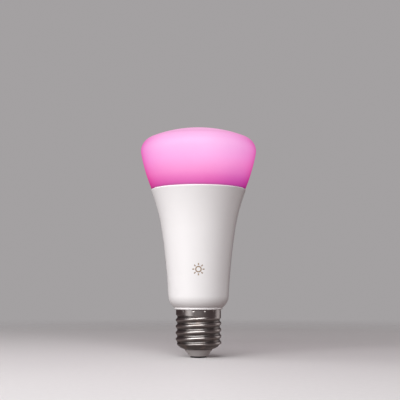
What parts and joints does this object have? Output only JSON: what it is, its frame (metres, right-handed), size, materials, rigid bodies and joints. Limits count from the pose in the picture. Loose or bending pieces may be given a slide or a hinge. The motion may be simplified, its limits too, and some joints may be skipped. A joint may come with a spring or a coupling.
{
  "type": "smart light bulb",
  "caption": "Colour-changing LED bulb: wide opal dome on a white trumpet housing, with an Edison screw cap and the driver, radio and LED board inside.",
  "frame": {"origin": "centre of the centre contact's flat outer face, which is also the bottom centre of the bulb", "axes": "+Z along the bulb's axis from the contact to the crown of the dome; -Y is the side that faces the viewer; +X is to the viewer's right"},
  "size_m": [0.0674, 0.0674, 0.1324],
  "materials": {
    "dome_opal": "satin opal polycarbonate",
    "silicone": "satin",
    "housing_white": "satin",
    "aluminium": "satin",
    "thermal_pad": "matte",
    "board_white": "white solder mask on an aluminium core",
    "screw_steel": "satin",
    "phosphor_warm": "satin",
    "phosphor_cool": "satin",
    "led_red": "gloss",
    "led_green": "gloss",
    "led_blue": "gloss",
    "reflector_white": "satin",
    "connector_white": "matte",
    "connector_black": "matte",
    "board_green": "glass-epoxy board, satin",
    "shield_tin": "tinned, satin",
    "copper": "satin",
    "chip_black": "moulded epoxy",
    "chip_white": "moulded epoxy",
    "chip_ceramic": "satin",
    "resistor_body": "lacquered",
    "varistor_blue": "dipped epoxy",
    "ferrite": "sintered ferrite, matte",
    "enamel_copper": "enamelled wire",
    "film_yellow": "gloss",
    "sleeve_navy": "shrink sleeve",
    "sleeve_blue": "shrink sleeve",
    "bobbin_black": "matte",
    "winding_tape": "polyester tape",
    "lead_tinned": "tinned copper wire",
    "lead_black": "insulated wire",
    "cap_nickel": "nickel plated, satin",
    "insulator_grey": "vitreous, satin",
    "contact_dark": "dark plated"
  },
  "bodies": {
    "root": {"diffuser_dome": "dome_opal", "seal_ring": "silicone", "outer_housing": "housing_white", "heat_sink": "aluminium", "mounting_plate": "aluminium", "thermal_pad": "thermal_pad", "led_board": "board_white", "board_screws": "screw_steel", "warm_white_leds": "phosphor_warm", "cool_white_leds": "phosphor_cool", "red_leds": "led_red", "green_leds": "led_green", "blue_leds": "led_blue", "reflector_ring": "reflector_white", "led_socket": "connector_white", "header_pins": "connector_black", "radio_board": "board_green", "radio_shield": "shield_tin", "radio_antenna": "copper", "driver_cup": "housing_white", "driver_board": "board_green", "bridge_rectifier": "chip_black", "fuse_resistor": "resistor_body", "varistor": "varistor_blue", "choke_core": "ferrite", "choke_winding": "enamel_copper", "film_capacitor": "film_yellow", "bulk_capacitor": "sleeve_navy", "output_capacitor": "sleeve_blue", "transformer_core": "ferrite", "transformer_bobbin": "bobbin_black", "transformer_winding": "winding_tape", "power_transistor": "chip_black", "controller_chip": "chip_black", "optocoupler": "chip_white", "chip_components": "chip_ceramic", "live_lead": "lead_tinned", "neutral_lead": "lead_black", "screw_shell": "cap_nickel", "cap_insulator": "insulator_grey", "centre_contact": "contact_dark"}
  },
  "joints": []
}
